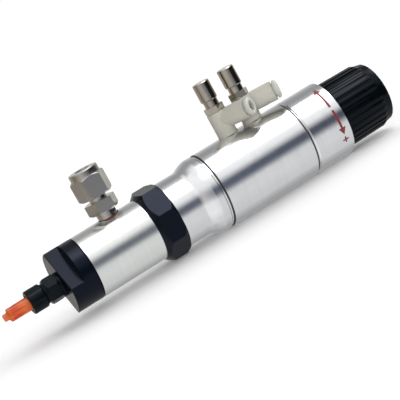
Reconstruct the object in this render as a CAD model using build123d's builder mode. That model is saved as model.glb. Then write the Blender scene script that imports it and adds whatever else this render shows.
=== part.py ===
from build123d import *
from math import cos, pi, radians, sin, sqrt
import os

# Pneumatic dispensing valve for liquids: an air cylinder pulls a poppet back off its seat, and the
# liquid that enters the short front body leaves through a luer outlet, which a tip cap closes.
# X runs along the valve, with the outlet at -X and the stroke knob at +X. Z is up, along the inlet
# and the two flow controls. The origin is on the axis, in the middle of the rear collar, where a
# clamp holds the valve. Every size is in millimetres.

# Clearances between pieces
running = 0.05  # radial, between pieces that turn or slide in each other
seated = 0.05  # radial, between pieces that are screwed or pushed together
rubber_gap = 0.03  # radial, between a seal and the bore that it wipes
axial_play = 0.1  # between end faces that move apart

# Rear collar and the joint lines at its front and at the front of the cylinder
body_r = 17.75
collar_length = 18.45
joint_width = 1.1
joint_depth = 0.6
edge = 0.35
rim_round = 0.5
octagon_turn = 22.5  # puts a flat of an eight-sided outline on top

# Cylinder tube
tube_length = 45.4
bore_r = 14.3
spigot_length = 9.5
spigot_bevel = 0.6

# Front housing: rear land, flare and neck. The flare starts with a hollow bend
land_length = 3.4
flare_length = 7.0
flare_bend_length = 2.0
flare_bend_rise = 0.52
neck_proud = 1.0  # of the fluid body
neck_length = 10.6

# Eight-sided lock nut
nut_thickness = 11.2
nut_proud = 1.625  # from the fluid body to the flats
nut_front_lip = 0.35
nut_rear_lip = 0.85
nut_front_bevel = 2.8
nut_rear_slope = 2.0  # length of the rear bevel for each millimetre of its height
nut_turn = 4.5  # of the corners, from up towards -Y
nut_counterbore = 1.0

# Fluid body
fluid_r = 14.45
fluid_length = 31.8
fluid_thread_depth = 1.9
fluid_thread_length = 20.0
chamber_r = 6.0
chamber_length = 42.0
cap_skirt = 2.85  # thickness of the nose cap round the fluid body's spigot
inlet_from_cap = 19.2

# Nose cap
cap_length = 13.2
cap_flats = 17.0
cap_flat_length = 6.8
cap_flat_angle = 44.0  # the first flat's normal, from up towards -Y
cap_wall = 5.2
cap_front_bevel = 0.3
cap_rear_bevel = 0.6

# Seat and poppet
seat_r = 7.4
seat_thickness = 3.0
orifice_r = 1.25
seat_cone_r = 2.6
poppet_gap = 0.05
poppet_length = 5.0

# Luer outlet
adapter_thread_r = 3.5
adapter_boss_r = 5.7
adapter_boss_length = 1.2
adapter_flats = 10.65
adapter_hex_length = 6.0
adapter_hex_turn = 39.0
adapter_hex_bevel = 1.2  # of what the corners stand proud of the flats
adapter_neck_r = 4.5
adapter_neck_length = 1.0
luer_bore_r = 1.0
luer_tip_r = 1.98
luer_taper = 0.03  # radius gained for each millimetre of length
luer_proud = 2.1
spindle_r = 2.85
spindle_lip = 0.35
spindle_lip_length = 0.6
luer_collar_r = 5.41
luer_collar_length = 7.7
luer_collar_bore_r = 3.75
luer_collar_wall = 1.5
luer_flutes = 6
luer_flute_width = 0.9
luer_flute_depth = 0.35
luer_flute_turn = 15.0
luer_collar_bevel = 0.9

# Tip cap
tip_out = 12.4
tip_stub_r = 1.62
tip_stub_length = 1.9
tip_shoulder = 0.8
tip_front_r = 3.03
tip_rear_r = 3.15
tip_rear_gap = 0.4
tip_rib_width = 0.8
tip_rib_proud = 0.3
tip_rib_count = 4
tip_rib_turn = 45.0
tip_lug = 0.45
tip_lug_length = 1.6
tip_end_wall = 1.2

# Inlet fitting for a 6.35 mm tube
inlet_tube_r = 3.2
inlet_port_r = 4.4
inlet_shank_r = 4.5
inlet_shank_proud = 2.75  # of the fluid body
inlet_body_flats = 12.7
inlet_body_height = 5.3
inlet_neck_wall = 0.8
inlet_neck_height = 4.9
inlet_socket_depth = 8.4
inlet_way_r = 2.4
inlet_nut_flats = 14.29
inlet_nut_gap = 2.0
inlet_nut_height = 9.7
inlet_nut_rim = 3.0
inlet_nut_round_r = 6.8
inlet_nut_cavity_height = 5.6
ferrule_thickness = 1.4
ferrule_room = 0.4
ferrule_share = 0.6  # of the height that the front ferrule takes up
ferrule_edge = 0.4
gasket_width = 0.65
gasket_thickness = 0.6
gasket_recess = 0.95
hexagon_bevel = 0.8  # of what the corners stand proud of the flats
small_bevel = 0.15

# Piston, rod and return spring
rod_r = 3.0
rod_tail_r = 2.45
rod_tail_proud = 0.5
piston_to_spigot = 7.3
piston_length = 6.0
piston_gap = 0.15
piston_groove = 2.4
piston_seal_depth = 2.2
piston_seal_lip = 0.4
piston_nut_flats = 8.0
piston_nut_thickness = 4.0
stroke = 2.0
spring_r = 9.4
spring_wire_r = 0.8
spring_turns = 4.5
spring_pocket_r = 10.6
spring_pocket_depth = 7.0

# Rod seals and guide
fluid_seal_r = 7.0
fluid_seal_length = 4.0
gland_r = 8.2
bush_r = 5.0
bush_length = 12.0
air_seal_r = 5.5
air_seal_length = 3.5
clip_r = 6.6
clip_thickness = 0.8
clip_room = 0.6
ring_section = 0.9  # radius of the static seal rings

# Stroke adjuster
hub_r = 10.6
hub_length = 14.5
screw_r = 4.0
screw_nose_r = 3.4
pad_stem_length = 4.0
screw_cover = 2.5
bumper_r = 3.4
bumper_thickness = 2.0
knob_r = 15.25
knob_taper = 0.3
knob_length = 24.7
knob_gap = 0.15
knob_shoulder = 5.1
knob_crown_r = 14.05
knob_crown_round = 0.8
knob_crown_length = 0.9
knob_crown_bulge = 0.3
knob_cavity_depth = 16.5
knob_ribs = 30
rib_turn = 2.55  # from +Y towards +Z
rib_width = 1.35
rib_height = 0.4
rib_end = 1.2
set_screw_r = 1.5
set_screw_length = 5.0
knob_set_screw_turn = -38.6  # from +Y towards +Z, on the side away from the controls

# Flow controls
control_spacing = 13.0
control_from_tube_rear = 13.3
port_r = 2.5
port_face_room = 0.35
port_recess = 0.55
washer_thickness = 0.6
core_r = 3.0
core_flange_r = 3.6
core_flange_thickness = 0.8
core_thread_r = 2.5
core_proud = 4.4  # of the elbow
core_bore_r = 1.7
core_ring = 0.8
core_ring_from_arm = 3.2
core_window_r = 1.4
elbow_r = 4.55
elbow_lift = 0.15
elbow_height = 11.8
lock_flats = 8.0
lock_thickness = 2.9
knob_neck_r = 3.3
knob_neck_rise = 5.8
flow_knob_r = 3.95
flow_knob_height = 8.8
needle_r = 1.3
arm_rise = 7.6
arm_r = 4.47
arm_root = 5.0
arm_seam = 0.35
arm_length = 14.4
arm_socket_depth = 8.2
arm_pocket_depth = 4.8
arm_pocket_r = 3.45
air_tube_r = 2.1
tube_way = 0.2  # radial, in the pieces that the tube goes through before its socket
collet_gap = 0.8
tooth_ring_length = 0.7
collet_length = 1.7
collet_bevel = 0.7
collet_r = 4.2
collet_sleeve_r = 3.25
collet_sleeve_length = 2.8
arm_turns = {"front": -45.0, "rear": -25.0}  # from +X, seen from above
lock_turns = {"front": 30.0, "rear": -5.5}

# Radii and heights that follow from the sizes above
joint_r = body_r - joint_depth
neck_r = fluid_r + neck_proud
nut_flats = 2 * (fluid_r + nut_proud)
nut_front_r = fluid_r + nut_front_lip
nut_rear_r = neck_r + nut_rear_lip
fluid_thread_r = fluid_r - fluid_thread_depth
fluid_spigot_r = fluid_r - cap_skirt
gasket_r = inlet_port_r + seated + gasket_width
gasket_seat = fluid_r - gasket_recess
gasket_top = gasket_seat + gasket_thickness
inlet_shank_top = fluid_r + inlet_shank_proud
inlet_body_top = inlet_shank_top + inlet_body_height
inlet_neck_r = inlet_tube_r + inlet_neck_wall
inlet_neck_top = inlet_body_top + inlet_neck_height
inlet_socket = inlet_neck_top - inlet_socket_depth
ferrule_r = inlet_tube_r + ferrule_thickness
inlet_nut_cavity_r = ferrule_r + ferrule_room
inlet_nut_cavity_top = inlet_neck_top + inlet_nut_cavity_height
inlet_nut_bottom = inlet_body_top + inlet_nut_gap
inlet_nut_hex_top = inlet_nut_bottom + inlet_nut_height
inlet_nut_top = inlet_nut_hex_top + inlet_nut_rim
port_face_r = elbow_r + port_face_room
port_face = body_r - port_recess
elbow_bottom = port_face + elbow_lift
elbow_top = port_face + elbow_height
arm_height = port_face + arm_rise
core_top = elbow_top + core_proud
knob_neck_top = elbow_top + knob_neck_rise
flow_knob_top = knob_neck_top + flow_knob_height
arm_socket_start = arm_length - arm_socket_depth
arm_pocket_start = arm_length - arm_pocket_depth

# Places along the valve, worked out from the lengths above
collar_front = -collar_length / 2
collar_rear = collar_length / 2
tube_rear = collar_front - joint_width
tube_front = tube_rear - tube_length
land_rear = tube_front - joint_width
flare_rear = land_rear - land_length
neck_rear = flare_rear - flare_length
neck_front = neck_rear - neck_length
nut_front = neck_front - nut_thickness
cap_rear = nut_front - fluid_length
cap_front = cap_rear - cap_length
hex_rear = cap_front - adapter_boss_length
hex_front = hex_rear - adapter_hex_length
luer_collar_rear = hex_front - adapter_neck_length
luer_collar_front = luer_collar_rear - luer_collar_length
tip_front = luer_collar_front - tip_out
inlet_x = cap_rear + inlet_from_cap
seat_front = cap_front + cap_wall
seat_rear = seat_front + seat_thickness
fluid_thread_start = nut_front + nut_counterbore
fluid_rear = fluid_thread_start + fluid_thread_length
chamber_rear = seat_rear + chamber_length
collar_spigot_front = tube_rear - spigot_length
piston_rear = collar_spigot_front - piston_to_spigot
piston_front = piston_rear - piston_length
rod_end = piston_rear + piston_nut_thickness + rod_tail_proud
bumper_front = rod_end + stroke + axial_play
screw_front = bumper_front + bumper_thickness
knob_front = collar_rear + knob_gap
knob_rear = knob_front + knob_length - knob_gap
housing_end = tube_front + spigot_length
control_x = {
    "front": tube_rear - control_from_tube_rear - control_spacing,
    "rear": tube_rear - control_from_tube_rear,
}

os.makedirs("parts", exist_ok=True)


def save(piece, name):
    """Label a finished piece and write its file."""
    piece.label = name
    export_step(piece, f"parts/{name}.step")


def turned(outline, axis=Axis.X, plane=Plane.XZ):
    """A turned solid: the closed outline on the plane, revolved about the axis."""
    with BuildPart() as piece:
        with BuildSketch(plane):
            with BuildLine():
                Polyline(*outline, close=True)
            make_face()
        revolve(axis=axis)
    return piece.part


def tube_outline(inner, outer, start, end):
    """The outline of a plain ring between two places along its axis."""
    return [(start, inner), (end, inner), (end, outer), (start, outer)]


def seal_ring(name, inner, outer, place):
    """A seal ring about the valve's axis, with its corners taken off."""
    half = (outer - inner) / 2
    with BuildPart() as ring:
        with BuildSketch(Plane.XZ):
            with Locations((place, inner + half)):
                RegularPolygon(half, 8, major_radius=False, rotation=octagon_turn)
        revolve(axis=Axis.X)
    save(ring.part, name)


def ring_groove(place, inner, outer):
    """The section of a square groove for a seal ring."""
    with Locations((place, (inner + outer) / 2)):
        Rectangle(2 * ring_section + axial_play, outer - inner)


# Tip cap: a closed stub, a shoulder and a ribbed skirt with two lugs inside the luer collar
luer_front = luer_collar_front - luer_proud
spindle_front = luer_collar_rear - luer_collar_wall - axial_play
cone_rear = spindle_front - spindle_lip_length
cone_rear_r = luer_tip_r + luer_taper * (cone_rear - luer_front)
tip_rear = cone_rear - tip_rear_gap
tip_bore_front = luer_front - tip_end_wall
shoulder_rear = tip_front + tip_stub_length + tip_shoulder
with BuildPart() as tip_cap:
    with BuildSketch(Plane.XZ):
        with BuildLine():
            Polyline(
                (tip_front, 0),
                (tip_front, tip_stub_r),
                (tip_front + tip_stub_length, tip_stub_r),
                (shoulder_rear, tip_front_r),
                (luer_collar_front, tip_rear_r),
                (tip_rear, tip_rear_r),
                (tip_rear, luer_tip_r + luer_taper * (tip_rear - luer_front) + running),
                (luer_front, luer_tip_r + running),
                (tip_bore_front, luer_tip_r + running),
                (tip_bore_front, 0),
                close=True,
            )
        make_face()
    revolve(axis=Axis.X)
    with BuildSketch(Plane.YZ.offset(shoulder_rear)):
        with PolarLocations(tip_front_r, tip_rib_count, tip_rib_turn):
            Rectangle(2 * tip_rib_proud, tip_rib_width)
    extrude(amount=luer_collar_front - shoulder_rear)
    with BuildSketch(Plane.YZ.offset(tip_rear - tip_lug_length)):
        with PolarLocations(tip_rear_r, 2):
            Rectangle(2 * tip_lug, tip_rib_width)
    extrude(amount=tip_lug_length)
    stub_rim = tip_cap.edges().filter_by(GeomType.CIRCLE).sort_by(Axis.X)[0]
    fillet(stub_rim, edge)
save(tip_cap.part, "tip_cap")

# Luer collar: a fluted ring that spins on the adapter's spindle
with BuildPart() as luer_collar:
    with BuildSketch(Plane.YZ.offset(luer_collar_front)):
        Circle(luer_collar_r)
    extrude(amount=luer_collar_length)
    chamfer(luer_collar.edges().sort_by(Axis.X)[0], luer_collar_bevel / 2)
    chamfer(luer_collar.edges().filter_by(GeomType.CIRCLE).sort_by(Axis.X)[-1], luer_collar_bevel)
    with BuildSketch(Plane.YZ.offset(luer_collar_front)):
        with PolarLocations(luer_collar_r, luer_flutes, luer_flute_turn):
            Rectangle(2 * luer_flute_depth, luer_flute_width)
    extrude(amount=luer_collar_length, mode=Mode.SUBTRACT)
    with BuildSketch(Plane.YZ.offset(luer_collar_front)):
        Circle(luer_collar_bore_r)
    extrude(amount=luer_collar_length - luer_collar_wall, mode=Mode.SUBTRACT)
    with BuildSketch(Plane.YZ.offset(luer_collar_front)):
        Circle(spindle_r + running)
    extrude(amount=luer_collar_length, mode=Mode.SUBTRACT)
save(luer_collar.part, "luer_collar")

# Luer adapter: taper, spindle with its snap lip, hexagon, boss and the thread into the nose cap
hex_corner = adapter_flats / sqrt(3)
hex_bevel = (hex_corner - adapter_flats / 2) * adapter_hex_bevel
with BuildPart() as luer_adapter:
    with BuildSketch(Plane.YZ.offset(hex_front)):
        RegularPolygon(hex_corner, 6, rotation=adapter_hex_turn)
    extrude(amount=adapter_hex_length)
    with BuildSketch(Plane.XZ):
        with BuildLine():
            Polyline(
                (hex_front, 0),
                (hex_front, adapter_flats / 2),
                (hex_front + hex_bevel, hex_corner),
                (hex_rear - hex_bevel, hex_corner),
                (hex_rear, adapter_flats / 2),
                (hex_rear, 0),
                close=True,
            )
        make_face()
    revolve(axis=Axis.X, mode=Mode.INTERSECT)
    with BuildSketch(Plane.XZ):
        with BuildLine():
            Polyline(
                (luer_front, 0),
                (luer_front, luer_tip_r),
                (cone_rear, cone_rear_r),
                (cone_rear, spindle_r + spindle_lip),
                (spindle_front, spindle_r + spindle_lip),
                (spindle_front, spindle_r),
                (luer_collar_rear, spindle_r),
                (luer_collar_rear, adapter_neck_r),
                (hex_front + adapter_neck_length, adapter_neck_r),
                (hex_front + adapter_neck_length, 0),
                close=True,
            )
        make_face()
    revolve(axis=Axis.X)
    with BuildSketch(Plane.XZ):
        with BuildLine():
            Polyline(
                (hex_rear - adapter_boss_length, 0),
                (hex_rear - adapter_boss_length, adapter_flats / 2),
                (hex_rear, adapter_flats / 2),
                (hex_rear, adapter_boss_r),
                (cap_front, adapter_boss_r),
                (cap_front, adapter_thread_r),
                (seat_front, adapter_thread_r),
                (seat_front, 0),
                close=True,
            )
        make_face()
    revolve(axis=Axis.X)
    with BuildSketch(Plane.YZ.offset(luer_front)):
        Circle(luer_bore_r)
    extrude(amount=seat_front - luer_front, mode=Mode.SUBTRACT)
save(luer_adapter.part, "luer_adapter")

# Nose cap: an anodised cup with two wrench flats, which holds the seat against the fluid body
with BuildPart() as nose_cap:
    with BuildSketch(Plane.YZ.offset(cap_front)):
        Circle(fluid_r)
    extrude(amount=cap_length)
    chamfer(nose_cap.edges().sort_by(Axis.X)[-1], cap_rear_bevel)
    with BuildSketch(Plane.YZ.offset(cap_front)):
        Circle(fluid_r + edge)
        Rectangle(4 * fluid_r, cap_flats, rotation=cap_flat_angle, mode=Mode.SUBTRACT)
    extrude(amount=cap_flat_length, mode=Mode.SUBTRACT)
    front_rim = nose_cap.edges().group_by(Axis.X)[0]
    chamfer(front_rim, cap_front_bevel)
    with BuildSketch(Plane.YZ.offset(cap_front)):
        Circle(adapter_thread_r + seated)
    extrude(amount=cap_wall, mode=Mode.SUBTRACT)
    with BuildSketch(Plane.YZ.offset(seat_front)):
        Circle(seat_r + seated)
    extrude(amount=seat_thickness, mode=Mode.SUBTRACT)
    with BuildSketch(Plane.YZ.offset(seat_rear)):
        Circle(fluid_spigot_r + seated)
    extrude(amount=cap_rear - seat_rear, mode=Mode.SUBTRACT)
save(nose_cap.part, "nose_cap")

# Valve seat: a plastic disc with a conical mouth for the poppet
cone_depth = seat_cone_r - orifice_r
save(
    turned(
        [
            (seat_front, orifice_r),
            (seat_rear - cone_depth, orifice_r),
            (seat_rear, seat_cone_r),
            (seat_rear, seat_r),
            (seat_front, seat_r),
        ]
    ),
    "valve_seat",
)

# Poppet: a hard tip on the rod, with the same cone as its seat
poppet_shift = poppet_gap * sqrt(2)
cone_start = seat_rear - cone_depth + poppet_shift
poppet_rear = seat_rear + poppet_length
save(
    turned(
        [
            (cone_start - orifice_r + poppet_gap, 0),
            (cone_start - orifice_r + poppet_gap, poppet_gap),
            (cone_start + rod_r - orifice_r, rod_r),
            (poppet_rear, rod_r),
            (poppet_rear, 0),
        ]
    ),
    "poppet",
)

# Fluid body: chamber, spigot for the nose cap, side port, and the thread for nut and housing
seal_pocket_end = chamber_rear + fluid_seal_length
nose_ring_x = cap_rear - 2 * ring_section
nose_groove_r = fluid_spigot_r - 2 * ring_section
with BuildPart() as fluid_body:
    with BuildSketch(Plane.XZ):
        with BuildLine():
            Polyline(
                (seat_rear, chamber_r),
                (seat_rear, fluid_spigot_r),
                (cap_rear, fluid_spigot_r),
                (cap_rear, fluid_r),
                (fluid_thread_start, fluid_r),
                (fluid_thread_start, fluid_thread_r),
                (fluid_rear - edge, fluid_thread_r),
                (fluid_rear, fluid_thread_r - edge),
                (fluid_rear, gland_r + seated),
                (seal_pocket_end, gland_r + seated),
                (seal_pocket_end, fluid_seal_r + seated),
                (chamber_rear, fluid_seal_r + seated),
                (chamber_rear, chamber_r),
                close=True,
            )
        make_face()
    revolve(axis=Axis.X)
    with BuildSketch(Plane.XY.offset(gasket_seat)):
        with Locations((inlet_x, 0)):
            Circle(gasket_r + seated)
    extrude(amount=fluid_r, mode=Mode.SUBTRACT)
    with BuildSketch(Plane.XY):
        with Locations((inlet_x, 0)):
            Circle(inlet_port_r + seated)
    extrude(amount=fluid_r, mode=Mode.SUBTRACT)
    with BuildSketch(Plane.XZ):
        ring_groove(nose_ring_x, nose_groove_r, fluid_spigot_r + seated)
    revolve(axis=Axis.X, mode=Mode.SUBTRACT)
save(fluid_body.part, "fluid_body")
seal_ring("nose_seal", nose_groove_r + seated, fluid_spigot_r, nose_ring_x)

# Inlet fitting: seal ring, body, two ferrules and the nut that closes them on the tube
inlet_axis = Axis((inlet_x, 0, 0), (0, 0, 1))
with BuildPart() as inlet_gasket:
    with BuildSketch(Plane.XY.offset(gasket_seat)):
        with Locations((inlet_x, 0)):
            Circle(gasket_r)
            Circle(inlet_port_r + seated, mode=Mode.SUBTRACT)
    extrude(amount=gasket_thickness)
save(inlet_gasket.part, "inlet_gasket")


def hexagon_limits(x, flats, bottom, top, low_bevel=hexagon_bevel, high_bevel=hexagon_bevel):
    """The turned shape that bevels both ends of a hexagon about a vertical axis at x."""
    corner = flats / sqrt(3)
    proud = corner - flats / 2
    return [
        (x, bottom),
        (x + flats / 2, bottom),
        (x + corner, bottom + proud * low_bevel),
        (x + corner, top - proud * high_bevel),
        (x + flats / 2, top),
        (x, top),
    ]


with BuildPart() as inlet_body:
    with BuildSketch(Plane.XY.offset(inlet_shank_top)):
        with Locations((inlet_x, 0)):
            RegularPolygon(inlet_body_flats / sqrt(3), 6)
    extrude(amount=inlet_body_top - inlet_shank_top)
    with BuildSketch(Plane.XZ):
        with BuildLine():
            limits = (inlet_x, inlet_body_flats, inlet_shank_top, inlet_body_top)
            Polyline(*hexagon_limits(*limits, high_bevel=small_bevel), close=True)
        make_face()
    revolve(axis=inlet_axis, mode=Mode.INTERSECT)
    with BuildSketch(Plane.XZ):
        with BuildLine():
            Polyline(
                (inlet_x, chamber_r),
                (inlet_x + inlet_port_r, chamber_r),
                (inlet_x + inlet_port_r, gasket_top),
                (inlet_x + inlet_shank_r, gasket_top),
                (inlet_x + inlet_shank_r, inlet_shank_top),
                (inlet_x + inlet_neck_r, inlet_body_top),
                (inlet_x + inlet_neck_r, inlet_neck_top),
                (inlet_x, inlet_neck_top),
                close=True,
            )
        make_face()
    revolve(axis=inlet_axis)
    with BuildSketch(Plane.XY.offset(inlet_socket)):
        with Locations((inlet_x, 0)):
            Circle(inlet_tube_r)
    extrude(amount=inlet_neck_top - inlet_socket, mode=Mode.SUBTRACT)
    with BuildSketch(Plane.XY):
        with Locations((inlet_x, 0)):
            Circle(inlet_way_r)
    extrude(amount=inlet_socket, mode=Mode.SUBTRACT)
save(inlet_body.part, "inlet_body")

ferrule_middle = inlet_neck_top + (inlet_nut_cavity_top - inlet_neck_top) * ferrule_share
ferrule_bore_r = inlet_tube_r + tube_way
ferrule_edge_r = ferrule_bore_r + ferrule_edge
for name, low, high in (
    ("front_ferrule", inlet_neck_top, ferrule_middle),
    ("back_ferrule", ferrule_middle, inlet_nut_cavity_top),
):
    save(
        turned(
            [
                (inlet_x + ferrule_bore_r, low),
                (inlet_x + ferrule_edge_r, low),
                (inlet_x + ferrule_r, (low + high) / 2),
                (inlet_x + ferrule_r, high),
                (inlet_x + ferrule_bore_r, high),
            ],
            inlet_axis,
        ),
        name,
    )

with BuildPart() as inlet_nut:
    with BuildSketch(Plane.XY.offset(inlet_nut_bottom)):
        with Locations((inlet_x, 0)):
            RegularPolygon(inlet_nut_flats / sqrt(3), 6)
    extrude(amount=inlet_nut_hex_top - inlet_nut_bottom)
    with BuildSketch(Plane.XZ):
        with BuildLine():
            limits = (inlet_x, inlet_nut_flats, inlet_nut_bottom, inlet_nut_hex_top)
            Polyline(*hexagon_limits(*limits), close=True)
        make_face()
    revolve(axis=inlet_axis, mode=Mode.INTERSECT)
    with BuildSketch(Plane.XY.offset(inlet_nut_hex_top)):
        with Locations((inlet_x, 0)):
            Circle(inlet_nut_round_r)
    extrude(amount=inlet_nut_top - inlet_nut_hex_top)
    fillet(inlet_nut.edges().sort_by(Axis.Z)[-1], rim_round)
    with BuildSketch(Plane.XZ):
        with BuildLine():
            Polyline(
                (inlet_x, inlet_nut_bottom),
                (inlet_x + inlet_neck_r + seated, inlet_nut_bottom),
                (inlet_x + inlet_neck_r + seated, inlet_neck_top),
                (inlet_x + inlet_nut_cavity_r, inlet_neck_top),
                (inlet_x + inlet_nut_cavity_r, inlet_nut_cavity_top),
                (inlet_x + inlet_tube_r + tube_way, inlet_nut_cavity_top),
                (inlet_x + inlet_tube_r + tube_way, inlet_nut_top),
                (inlet_x, inlet_nut_top),
                close=True,
            )
        make_face()
    revolve(axis=inlet_axis, mode=Mode.SUBTRACT)
save(inlet_nut.part, "inlet_nut")

# Lock nut between fluid body and housing, on the fluid body's thread
nut_corner = nut_flats / 2 / cos(pi / 8)
nut_rear_bevel = nut_corner - nut_rear_r
with BuildPart() as lock_nut:
    with BuildSketch(Plane.YZ.offset(nut_front)):
        RegularPolygon(nut_corner, 8, rotation=octagon_turn + nut_turn)
    extrude(amount=nut_thickness)
    with BuildSketch(Plane.XZ):
        with BuildLine():
            Polyline(
                (nut_front, 0),
                (nut_front, nut_front_r),
                (nut_front + nut_front_bevel, nut_corner),
                (neck_front - nut_rear_bevel * nut_rear_slope, nut_corner),
                (neck_front, nut_rear_r),
                (neck_front, 0),
                close=True,
            )
        make_face()
    revolve(axis=Axis.X, mode=Mode.INTERSECT)
    with BuildSketch(Plane.YZ.offset(nut_front)):
        Circle(fluid_r + seated)
    extrude(amount=nut_counterbore, mode=Mode.SUBTRACT)
    with BuildSketch(Plane.YZ.offset(nut_front)):
        Circle(fluid_thread_r + seated)
    extrude(amount=nut_thickness, mode=Mode.SUBTRACT)
save(lock_nut.part, "lock_nut")

# Fluid seal, its gland and the spring clip of the air seal: rings around the rod
rod_hole_r = rod_r + running
save(
    turned(tube_outline(rod_r + rubber_gap, fluid_seal_r, chamber_rear, seal_pocket_end)),
    "fluid_seal",
)
gland_rear = fluid_rear - axial_play
save(turned(tube_outline(rod_hole_r, gland_r, seal_pocket_end, gland_rear)), "seal_gland")

# Front housing: neck, flare, land and the spigot inside the cylinder
bush_front = fluid_rear + axial_play
bush_rear = bush_front + bush_length
air_seal_front = housing_end - air_seal_length - clip_thickness
clip_front = housing_end - clip_thickness
tube_groove_r = bore_r - 2 * ring_section
front_ring_x = tube_front + spigot_length / 2
flare_bend_end = (neck_rear + flare_bend_length, neck_r + flare_bend_rise)
with BuildPart() as front_housing:
    with BuildSketch(Plane.XZ):
        with BuildLine():
            front = Polyline(
                (neck_rear, neck_r),
                (neck_front, neck_r),
                (neck_front, fluid_thread_r + seated),
                (bush_front, fluid_thread_r + seated),
                (bush_front, bush_r),
                (bush_rear, bush_r),
                (bush_rear, rod_hole_r),
                (air_seal_front, rod_hole_r),
                (air_seal_front, air_seal_r),
                (clip_front, air_seal_r),
                (clip_front, clip_r),
                (housing_end, clip_r),
                (housing_end, bore_r - seated - spigot_bevel),
                (housing_end - spigot_bevel, bore_r - seated),
                (tube_front, bore_r - seated),
                (tube_front, joint_r),
                (land_rear, joint_r),
                (land_rear, body_r - edge),
                (land_rear - edge, body_r),
                (flare_rear, body_r),
            )
            bend = TangentArc(front @ 0, flare_bend_end, tangent=(1, 0))
            TangentArc(bend @ 1, front @ 1, tangent=bend % 1)
        make_face()
    revolve(axis=Axis.X)
    with BuildSketch(Plane.XZ):
        ring_groove(front_ring_x, tube_groove_r, bore_r)
    revolve(axis=Axis.X, mode=Mode.SUBTRACT)
save(front_housing.part, "front_housing")
seal_ring("front_tube_seal", tube_groove_r + seated, bore_r - rubber_gap, front_ring_x)
save(turned(tube_outline(rod_hole_r, bush_r - seated, bush_front, bush_rear)), "rod_bush")
save(
    turned(tube_outline(rod_r + rubber_gap, air_seal_r - seated, air_seal_front, clip_front)),
    "air_seal",
)
save(turned(tube_outline(rod_r + clip_room, clip_r - seated, clip_front, housing_end)), "seal_clip")

# Cylinder tube with two spot-faced air ports on top
with BuildPart() as cylinder_tube:
    with BuildSketch(Plane.XZ):
        with BuildLine():
            Polyline(
                (tube_front, bore_r),
                (tube_rear, bore_r),
                (tube_rear, body_r - edge),
                (tube_rear - edge, body_r),
                (tube_front + edge, body_r),
                (tube_front, body_r - edge),
                close=True,
            )
        make_face()
    revolve(axis=Axis.X)
    for x in control_x.values():
        with BuildSketch(Plane.XY.offset(port_face)):
            with Locations((x, 0)):
                Circle(port_face_r)
        extrude(amount=body_r, mode=Mode.SUBTRACT)
        with BuildSketch(Plane.XY):
            with Locations((x, 0)):
                Circle(port_r + seated)
        extrude(amount=body_r, mode=Mode.SUBTRACT)
save(cylinder_tube.part, "cylinder_tube")

# Rear collar: spigot with the spring pocket, clamp band, and the hub for the stroke knob
screw_hole_r = screw_r + running
pocket_bottom = collar_spigot_front + spring_pocket_depth
hub_rear = collar_rear + hub_length
rear_ring_x = tube_rear - spigot_length / 4
screw_groove_r = screw_r + 2 * ring_section
hub_groove_r = hub_r - 2 * ring_section
drag_ring_x = hub_rear - hub_length / 3
with BuildPart() as rear_collar:
    with BuildSketch(Plane.XZ):
        with BuildLine():
            Polyline(
                (collar_spigot_front, spring_pocket_r),
                (pocket_bottom, spring_pocket_r),
                (pocket_bottom, screw_hole_r),
                (hub_rear, screw_hole_r),
                (hub_rear, hub_r - edge),
                (hub_rear - edge, hub_r),
                (collar_rear, hub_r),
                (collar_rear, body_r - edge),
                (collar_rear - edge, body_r),
                (collar_front + edge, body_r),
                (collar_front, body_r - edge),
                (collar_front, joint_r),
                (tube_rear, joint_r),
                (tube_rear, bore_r - seated),
                (collar_spigot_front + spigot_bevel, bore_r - seated),
                (collar_spigot_front, bore_r - seated - spigot_bevel),
                close=True,
            )
        make_face()
    revolve(axis=Axis.X)
    with BuildSketch(Plane.XZ):
        ring_groove(rear_ring_x, tube_groove_r, bore_r)
        ring_groove(0, screw_r, screw_groove_r)
        ring_groove(drag_ring_x, hub_groove_r, hub_r + running)
    revolve(axis=Axis.X, mode=Mode.SUBTRACT)
save(rear_collar.part, "rear_collar")
seal_ring("rear_tube_seal", tube_groove_r + seated, bore_r - rubber_gap, rear_ring_x)
seal_ring("screw_seal", screw_r + rubber_gap, screw_groove_r - seated, 0)
seal_ring("knob_drag_ring", hub_groove_r + seated, hub_r + running - rubber_gap, drag_ring_x)

# Piston, its seal, the rod and the nut that holds them together
groove_front = (piston_front + piston_rear - piston_groove) / 2
piston_r = bore_r - piston_gap
groove_r = bore_r - piston_seal_depth
with BuildPart() as piston:
    with BuildSketch(Plane.XZ):
        with BuildLine():
            Polyline(
                (piston_front, rod_tail_r + seated),
                (piston_front, piston_r - edge),
                (piston_front + edge, piston_r),
                (groove_front, piston_r),
                (groove_front, groove_r),
                (groove_front + piston_groove, groove_r),
                (groove_front + piston_groove, piston_r),
                (piston_rear - edge, piston_r),
                (piston_rear, piston_r - edge),
                (piston_rear, rod_tail_r + seated),
                close=True,
            )
        make_face()
    revolve(axis=Axis.X)
save(piston.part, "piston")
lip = piston_seal_lip
seal_front = groove_front + seated
seal_rear = groove_front + piston_groove - seated
save(
    turned(
        [
            (seal_front, groove_r + seated),
            (seal_front, bore_r - rubber_gap - lip),
            (seal_front + lip, bore_r - rubber_gap),
            (seal_rear - lip, bore_r - rubber_gap),
            (seal_rear, bore_r - rubber_gap - lip),
            (seal_rear, groove_r + seated),
        ]
    ),
    "piston_seal",
)
save(
    turned(
        [
            (poppet_rear, 0),
            (poppet_rear, rod_r),
            (piston_front, rod_r),
            (piston_front, rod_tail_r),
            (rod_end - edge, rod_tail_r),
            (rod_end, rod_tail_r - edge),
            (rod_end, 0),
        ]
    ),
    "piston_rod",
)
with BuildPart() as piston_nut:
    with BuildSketch(Plane.YZ.offset(piston_rear)):
        RegularPolygon(piston_nut_flats / sqrt(3), 6)
        Circle(rod_tail_r + seated, mode=Mode.SUBTRACT)
    extrude(amount=piston_nut_thickness)
save(piston_nut.part, "piston_nut")

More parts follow.
